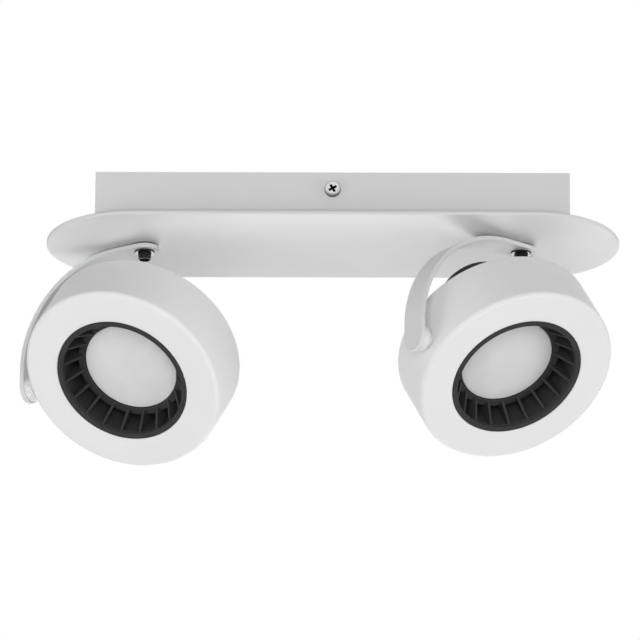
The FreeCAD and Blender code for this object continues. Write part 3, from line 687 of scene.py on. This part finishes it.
def vane_mesh():
    """One vane, lying in the X-Z plane: its front edge slopes from the lip down to the holder."""
    inner, outer, under = HOLDER_BORE + VANE_INSET, RING_RADIUS - RING_SKIRT / 2, FACE_Z - LIP_WIDTH / 2
    outline = [(inner, HOLDER_TOP - 0.2), (RING_RADIUS - LIP_WIDTH, under), (outer, under),
               (outer, POCKET_FLOOR - VANE_SINK), (inner, POCKET_FLOOR - VANE_SINK)]
    shape = bmesh.new()
    front = [shape.verts.new((x * MM, -VANE_THICKNESS / 2 * MM, z * MM)) for x, z in outline]
    back = [shape.verts.new((x * MM, VANE_THICKNESS / 2 * MM, z * MM)) for x, z in outline]
    shape.faces.new(front)
    shape.faces.new(back[::-1])
    for k in range(len(outline)):
        after = (k + 1) % len(outline)
        shape.faces.new((front[k], back[k], back[after], front[after]))
    bmesh.ops.recalc_face_normals(shape, faces=shape.faces)
    mesh = bpy.data.meshes.new("vane")
    shape.to_mesh(mesh)
    shape.free()
    mesh.shade_smooth()

    def round_edges(carrier):
        modifier = carrier.modifiers.new("rounded", "BEVEL")
        modifier.width = 0.3 * MM
        modifier.segments = 3
        modifier.harden_normals = True
    return evaluated(mesh, round_edges)


def vane_ring_mesh():
    """Lip, wall, floor, and the sloping holder, with the vanes standing between them."""
    lip_inner = RING_RADIUS - LIP_WIDTH
    outline = eased([
        (lip_inner, LIP_TOP, 0.45), (RING_RADIUS, LIP_TOP, 0.3), (RING_RADIUS, RING_BOTTOM, 0.2),
        (HOLDER_BORE, RING_BOTTOM, 0), (HOLDER_BORE, HOLDER_TOP, 0.2), (HOLDER_RADIUS, HOLDER_TOP, 0.8),
        (HOLDER_FOOT, POCKET_FLOOR, 0), (RING_RADIUS - RING_SKIRT, POCKET_FLOOR, 0.4),
        (RING_RADIUS - RING_SKIRT, FACE_Z - LIP_WIDTH, 0), (lip_inner, FACE_Z - LIP_WIDTH, 0.2)], 5)
    body = smooth(turned(outline, 156), 32.0)
    post_top = RING_BOTTOM + 0.3
    post = turned([(0, post_top), (POST_RADIUS, post_top), (POST_RADIUS, FLANGE_TOP), (0, FLANGE_TOP)],
                  32, closed=False)
    post.transform(Matrix.Translation((POST_CIRCLE * MM, 0, 0)))
    paint = finishes["black_plastic"]
    with_vanes = through_tree(body, round_axis_tree, {
        "Shape": helper("vane", vane_mesh()), "Count": VANE_COUNT,
        "Start turn": math.pi / VANE_COUNT, "Finish": paint})
    return through_tree(with_vanes, round_axis_tree, {
        "Shape": helper("post", smooth(post)), "Count": 3, "Start turn": math.pi / 3, "Finish": paint})


def diffuser_mesh():
    """Frosted disc with a shallow domed front and a rounded rim."""
    radius, front, crown = DISC_RADIUS, DISC_FRONT, DISC_CROWN
    sphere = (radius ** 2 + crown ** 2) / (2 * crown)
    dome = [(radius * k / 20, front + crown - sphere + math.sqrt(sphere ** 2 - (radius * k / 20) ** 2))
            for k in range(20)]
    under = front - DISC_EDGE
    rim = eased([(0, front, 0), (radius, front, 0.5), (radius, under, 0.3), (0, under, 0)], 5)[1:]
    return smooth(turned(dome + rim, 144, closed=False), 50.0)


def heat_sink_mesh():
    """Black casting: flange, core, round neck, rounded square block, and radial fins in a round pocket."""
    segments, end, floor_z = 192, SINK_END, SINK_END + FIN_DEPTH
    front = eased([
        (0, CORE_TOP, 0), (CORE_RADIUS, CORE_TOP, 0.5), (CORE_RADIUS, FLANGE_TOP, 0),
        (FLANGE_RADIUS, FLANGE_TOP, 0.5),
        (FLANGE_RADIUS, BACK_Z + DRUM_WALL, 0.3), (NECK_RADIUS, BACK_Z + DRUM_WALL, 0),
        (NECK_RADIUS, SHOULDER_Z, 1.0), (0, SHOULDER_Z, 0)], 6)[:-1]
    block = [(rounded_square(BLOCK_HALF, BLOCK_CORNER, segments), SHOULDER_Z)]
    for step in range(7):
        turn = math.pi / 2 * step / 6
        inset = BLOCK_ROUND * (1 - math.cos(turn))
        block.append((rounded_square(BLOCK_HALF - inset, BLOCK_CORNER - inset, segments),
                      end + BLOCK_ROUND * (1 - math.sin(turn))))
    pocket = eased([
        (POCKET_RADIUS, end, 0.4), (POCKET_RADIUS - 0.4, floor_z, 0.8), (HUB_RADIUS + 0.4, floor_z, 0.8),
        (HUB_RADIUS, end, 0.4), (LEAD_HOLE_RADIUS, end, 0.3), (LEAD_HOLE_RADIUS, BACK_Z, 0),
        (0, BACK_Z, 0)], 6)
    fin = bmesh.new()
    low = [(HUB_RADIUS - 0.4, floor_z + 0.3), (POCKET_RADIUS + 0.4, floor_z + 0.3)]
    top = [(HUB_RADIUS - 0.4, end + 0.25), (POCKET_RADIUS + 0.4, end + 0.25)]
    corners = []
    for x, z in low:
        corners.append([fin.verts.new((x * MM, y * MM, z * MM)) for y in (-FIN_FOOT_HALF, FIN_FOOT_HALF)])
    for x, z in top:
        corners.append([fin.verts.new((x * MM, y * MM, z * MM)) for y in (-FIN_TIP_HALF, FIN_TIP_HALF)])
    (a, b), (c, d), (e, f), (g, h) = corners
    for face in ((a, b, d, c), (e, g, h, f), (a, c, g, e), (b, f, h, d), (a, e, f, b), (c, d, h, g)):
        fin.faces.new(face)
    bmesh.ops.recalc_face_normals(fin, faces=fin.faces)
    fin_mesh = bpy.data.meshes.new("fin")
    fin.to_mesh(fin_mesh)
    fin.free()
    fin_mesh.shade_smooth()

    def round_edges(carrier):
        modifier = carrier.modifiers.new("rounded", "BEVEL")
        modifier.width = 0.35 * MM
        modifier.segments = 2
        modifier.harden_normals = True
    casting = smooth(turned(front + block + pocket, segments, closed=False), 32.0)
    return through_tree(casting, round_axis_tree, {
        "Shape": helper("fin", evaluated(fin_mesh, round_edges)), "Count": FIN_COUNT, "Start turn": 0.0,
        "Finish": finishes["black_aluminium"]})


def arm_mesh():
    """One flat strip, bent: level under the plate, one arc, then straight down to the tilt axis."""
    pivot_z = joints["left_tilt"]["pos_m"][2] / MM
    middle = ARM_THICKNESS / 2
    reach, top = ARM_REACH - middle, ARM_TOP - middle
    bend = top - (pivot_z + ARM_LEG)
    half_width = ARM_WIDTH / 2
    lead = 12.0
    level = reach - bend
    length = level + bend * math.pi / 2 + ARM_LEG
    handle = bend * 4 / 3 * math.tan(math.pi / 8)
    curve = bpy.data.curves.new("arm_path", "CURVE")
    curve.dimensions = "3D"
    curve.resolution_u = 64
    spline = curve.splines.new("BEZIER")
    spline.bezier_points.add(3)
    stops = [((-lead, 0, top), (-lead - 1, 0, top), (-lead + 1, 0, top)),
             ((level, 0, top), (level - 1, 0, top), (level + handle, 0, top)),
             ((reach, 0, top - bend), (reach, 0, top - bend + handle), (reach, 0, top - bend - 1)),
             ((reach, 0, pivot_z - lead), (reach, 0, pivot_z - lead + 1), (reach, 0, pivot_z - lead - 1))]
    for point, (here, before, after) in zip(spline.bezier_points, stops):
        point.handle_left_type = point.handle_right_type = "FREE"
        point.co = Vector(here) * MM
        point.handle_left = Vector(before) * MM
        point.handle_right = Vector(after) * MM
    stations = []
    end_steps, runs = 12, 96
    for k in range(end_steps + 1):
        turn = math.pi / 2 * (1 - k / end_steps)
        stations.append((lead - half_width * math.sin(turn), half_width * math.cos(turn)))
    stations += [(lead + length * k / runs, half_width) for k in range(1, runs)]
    for k in range(end_steps + 1):
        turn = math.pi / 2 * k / end_steps
        stations.append((lead + length + half_width * math.sin(turn), half_width * math.cos(turn)))
    shape = bmesh.new()
    layers = []
    for z in (middle, -middle):
        rows = []
        for x, half in stations:
            if half < 1e-6:
                rows.append([shape.verts.new((x * MM, 0, z * MM))] * 2)
            else:
                rows.append([shape.verts.new((x * MM, y * MM, z * MM)) for y in (-half, half)])
        for before, after in zip(rows, rows[1:]):
            shape.faces.new(list(dict.fromkeys((before[0], after[0], after[1], before[1]))))
        layers.append(rows)
    for edge in (0, 1):
        upper = [row[edge] for row in layers[0]]
        lower = [row[edge] for row in layers[1]]
        for k in range(len(upper) - 1):
            shape.faces.new((upper[k], upper[k + 1], lower[k + 1], lower[k]))
    bmesh.ops.recalc_face_normals(shape, faces=shape.faces)
    strip = bpy.data.meshes.new("strip")
    shape.to_mesh(strip)
    shape.free()
    strip.shade_smooth()

    def round_edges(carrier):
        modifier = carrier.modifiers.new("rounded", "BEVEL")
        modifier.width = 0.4 * MM
        modifier.segments = 3
        modifier.limit_method = "ANGLE"
        modifier.angle_limit = math.radians(40)
        modifier.use_clamp_overlap = False
    rounded = evaluated(strip, round_edges)
    path = helper("arm_path", curve)
    bent = through_tree(rounded, strip_tree, {"Path": path, "Finish": finishes["white_steel"]})
    return smooth(bent, 60.0)


shell_screw = cross_screw(head_mm=5.5, height_mm=2.0, shank_mm=3.0, length_mm=5.0)
side_screw = cross_screw(head_mm=8.0, height_mm=2.6, shank_mm=4.0, length_mm=7.0)
drum_mesh = drum_shell_mesh()
ring_mesh = vane_ring_mesh()
disc_mesh = diffuser_mesh()
sink_mesh = heat_sink_mesh()
bent_arm = arm_mesh()
turned_bush = bush_mesh()
for side in HEADS:
    head, yoke = side + "_head", side + "_yoke"
    place = head_place(side)
    for name, mesh, slot in (
            ("drum_shell", drum_mesh, "white_drum"), ("vane_ring", ring_mesh, "black_plastic"),
            ("diffuser", disc_mesh, "frosted_plastic"), ("heat_sink", sink_mesh, "black_aluminium")):
        copy = mesh.copy()
        copy.transform(place)
        finished(side + "_" + name + "_piece", copy, head, slot, side + "_" + name)
    screw_radius = (NECK_RADIUS + DRUM_RADIUS - DRUM_WALL) / 2
    back = place.to_3x3() @ Vector((0, 0, -1))
    spots = [(place @ (Vector((screw_radius * math.cos(a), screw_radius * math.sin(a), BACK_Z)) * MM), back)
             for a in (0, 2 * math.pi / 3, 4 * math.pi / 3)]
    screws(side + "_shell_screws", shell_screw, spots, head, "zinc_steel", side + "_head_screws")
    arm = bent_arm.copy()
    arm.transform(arm_place(side))
    finished(side + "_arm_strip", arm, yoke, "white_steel", side + "_arm")
    bush = turned_bush.copy()
    bush.transform(place @ Matrix.Translation((BUSH_START * MM, 0, 0)) @ Matrix.Rotation(math.pi / 2, 4, "Y"))
    finished(side + "_bush_rings", bush, yoke, "white_bush", side + "_pivot_bush")

front = Vector((0, -1, 0))
spots = [(Vector((0, -COVER_SCREW_Y, COVER_SCREW_Z)) * MM, front),
         (Vector((0, COVER_SCREW_Y, COVER_SCREW_Z)) * MM, -front)]
screws("cover_screws", side_screw, spots, "base", "bright_steel", "side_screws")

# Small rounds, in millimetres, on the edges of the CAD pieces that are shown as they are
broken_edges = {
    "ceiling_bracket": 0.3, "driver": 0.5, "terminal_block": 0.4, "stop_pins": 0.25, "plate_nuts": 0.25,
    "earth_washer": 0.12, "cable_grommet": 0.4,
}
for side in HEADS:
    for name, width in (
            ("swivel_nut", 0.35), ("stop_washer", 0.15), ("swivel_spring_washer", 0.15),
            ("swivel_spacer", 0.15), ("outlet_nut", 0.25), ("swivel_stud", 0.2), ("pivot_spacer", 0.2),
            ("pivot_washer", 0.15), ("pivot_nut", 0.35), ("swivel_washer", 0.12), ("lead_grommet", 0.5),
            ("led_board", 0.15)):
        broken_edges[side + "_" + name] = width
for name, width in broken_edges.items():
    node = frame["nodes"][name]
    body = next(key for key, members in bodies.items() if name in members)
    slot = next(key for key, made in finishes.items() if made == node.material_slots[0].material)
    mesh = softened(name, width)
    # Painted shade and dark reflection on the swivel washers: near black on top and round the edges, a little less
    # underneath
    if name.endswith("swivel_washer"):
        painted_shade = mesh.attributes.new("recess", "FLOAT", "FACE")
        for face in mesh.polygons:
            underside = face.normal.z < -0.7
            painted_shade.data[face.index].value = WASHER_UNDERSIDE_PAINTED_SHADE if underside else WASHER_RIM_PAINTED_SHADE
    finished(name + "_eased", mesh, body, slot, name)


def floor():
    """A pale floor far below, as in a room."""
    mesh = bpy.data.meshes.new("room_floor")
    reach, height = 30.0, -6.5
    mesh.from_pydata([(-reach, -reach, height), (reach, -reach, height), (reach, reach, height),
                      (-reach, reach, height)], [], [(0, 1, 2, 3)])
    made = bpy.data.objects.new("room_floor", mesh)
    bpy.context.scene.collection.objects.link(made)
    pale = bpy.data.materials.new("pale_floor")
    pale.use_nodes = True
    nodes, links = pale.node_tree.nodes, pale.node_tree.links
    matte = nodes["Principled BSDF"]
    matte.inputs["Base Color"].default_value = (0.9, 0.9, 0.9, 1)
    matte.inputs["Roughness"].default_value = 0.9
    white = nodes.new("ShaderNodeEmission")
    ray = nodes.new("ShaderNodeLightPath")
    share = nodes.new("ShaderNodeMath")
    share.operation = "MULTIPLY"
    share.inputs[1].default_value = 0.75
    mix = nodes.new("ShaderNodeMixShader")
    links.new(ray.outputs["Is Camera Ray"], share.inputs[0])
    links.new(share.outputs["Value"], mix.inputs["Fac"])
    links.new(matte.outputs["BSDF"], mix.inputs[1])
    links.new(white.outputs["Emission"], mix.inputs[2])
    links.new(mix.outputs["Shader"], nodes["Material Output"].inputs["Surface"])
    mesh.materials.append(pale)


def surroundings(level):
    """Soft even light from all round, seen as white by the camera and in reflections."""
    world = bpy.data.worlds.new("studio")
    bpy.context.scene.world = world
    world.use_nodes = True
    nodes, links = world.node_tree.nodes, world.node_tree.links
    background = nodes["Background"]
    background.inputs["Color"].default_value = (1, 1, 1, 1)
    ray = nodes.new("ShaderNodeLightPath")
    seen = nodes.new("ShaderNodeMath")
    seen.operation = "MAXIMUM"
    seen_too = nodes.new("ShaderNodeMath")
    seen_too.operation = "MAXIMUM"
    spread = nodes.new("ShaderNodeMapRange")
    spread.inputs["To Min"].default_value = level
    spread.inputs["To Max"].default_value = 1.0
    links.new(ray.outputs["Is Camera Ray"], seen.inputs[0])
    links.new(ray.outputs["Is Glossy Ray"], seen.inputs[1])
    links.new(seen.outputs["Value"], seen_too.inputs[0])
    links.new(ray.outputs["Is Transmission Ray"], seen_too.inputs[1])
    links.new(seen_too.outputs["Value"], spread.inputs["Value"])
    links.new(spread.outputs["Result"], background.inputs["Strength"])


def softbox(name, place, aim, size, watts, mirrored):
    """A square lamp out of sight. Only a mirrored one gives highlights."""
    lamp = bpy.data.lights.new(name, "AREA")
    lamp.shape = "SQUARE"
    lamp.size = size
    lamp.energy = watts
    made = bpy.data.objects.new(name, lamp)
    bpy.context.scene.collection.objects.link(made)
    made.location = place
    made.visible_camera = False
    made.visible_glossy = mirrored
    made.rotation_mode = "QUATERNION"
    made.rotation_quaternion = (Vector(aim) - Vector(place)).to_track_quat("-Z", "Y")


def camera():
    """The photograph's view: from 5 m away, below the light, and looking up at it."""
    distance, pitch, turn, roll = 5.0, 0.36757, -0.00708, 0.00514
    view = Vector((math.sin(turn) * math.cos(pitch), math.cos(turn) * math.cos(pitch), math.sin(pitch)))
    level = view.cross(Vector((0, 0, 1))).normalized()
    upright = level.cross(view)
    right = level * math.cos(roll) + upright * math.sin(roll)
    up = upright * math.cos(roll) - level * math.sin(roll)
    data = bpy.data.cameras.new("photo_camera")
    data.lens = 9900.8 * 36.0 / 640.0
    data.sensor_width = 36.0
    data.clip_start = 0.05
    data.clip_end = 60.0
    made = bpy.data.objects.new("photo_camera", data)
    bpy.context.scene.collection.objects.link(made)
    made.matrix_world = Matrix((right, up, -view)).transposed().to_4x4()
    made.location = Vector((-6.297, -0.243, -65.120)) * MM - distance * view
    bpy.context.scene.camera = made


floor()
surroundings(0.32)
middle, left_end = (0, 0, -0.07), (-0.13, 0, -0.05)
softbox("low_softbox", (0.0, -0.2, -2.4), middle, 1.6, 2.4, False)
softbox("near_left_softbox", (-0.75, -0.3, -0.55), left_end, 0.5, 2.25, False)
softbox("right_softbox", (2.2, -0.3, -0.9), middle, 1.6, 22.5, False)
softbox("front_softbox", (0.0, -2.3, -0.7), middle, 1.6, 26.0, False)
softbox("rear_softbox", (0.0, 2.1, -1.2), middle, 1.6, 27.6, True)
camera()
bpy.context.scene.view_settings.view_transform = "Standard"
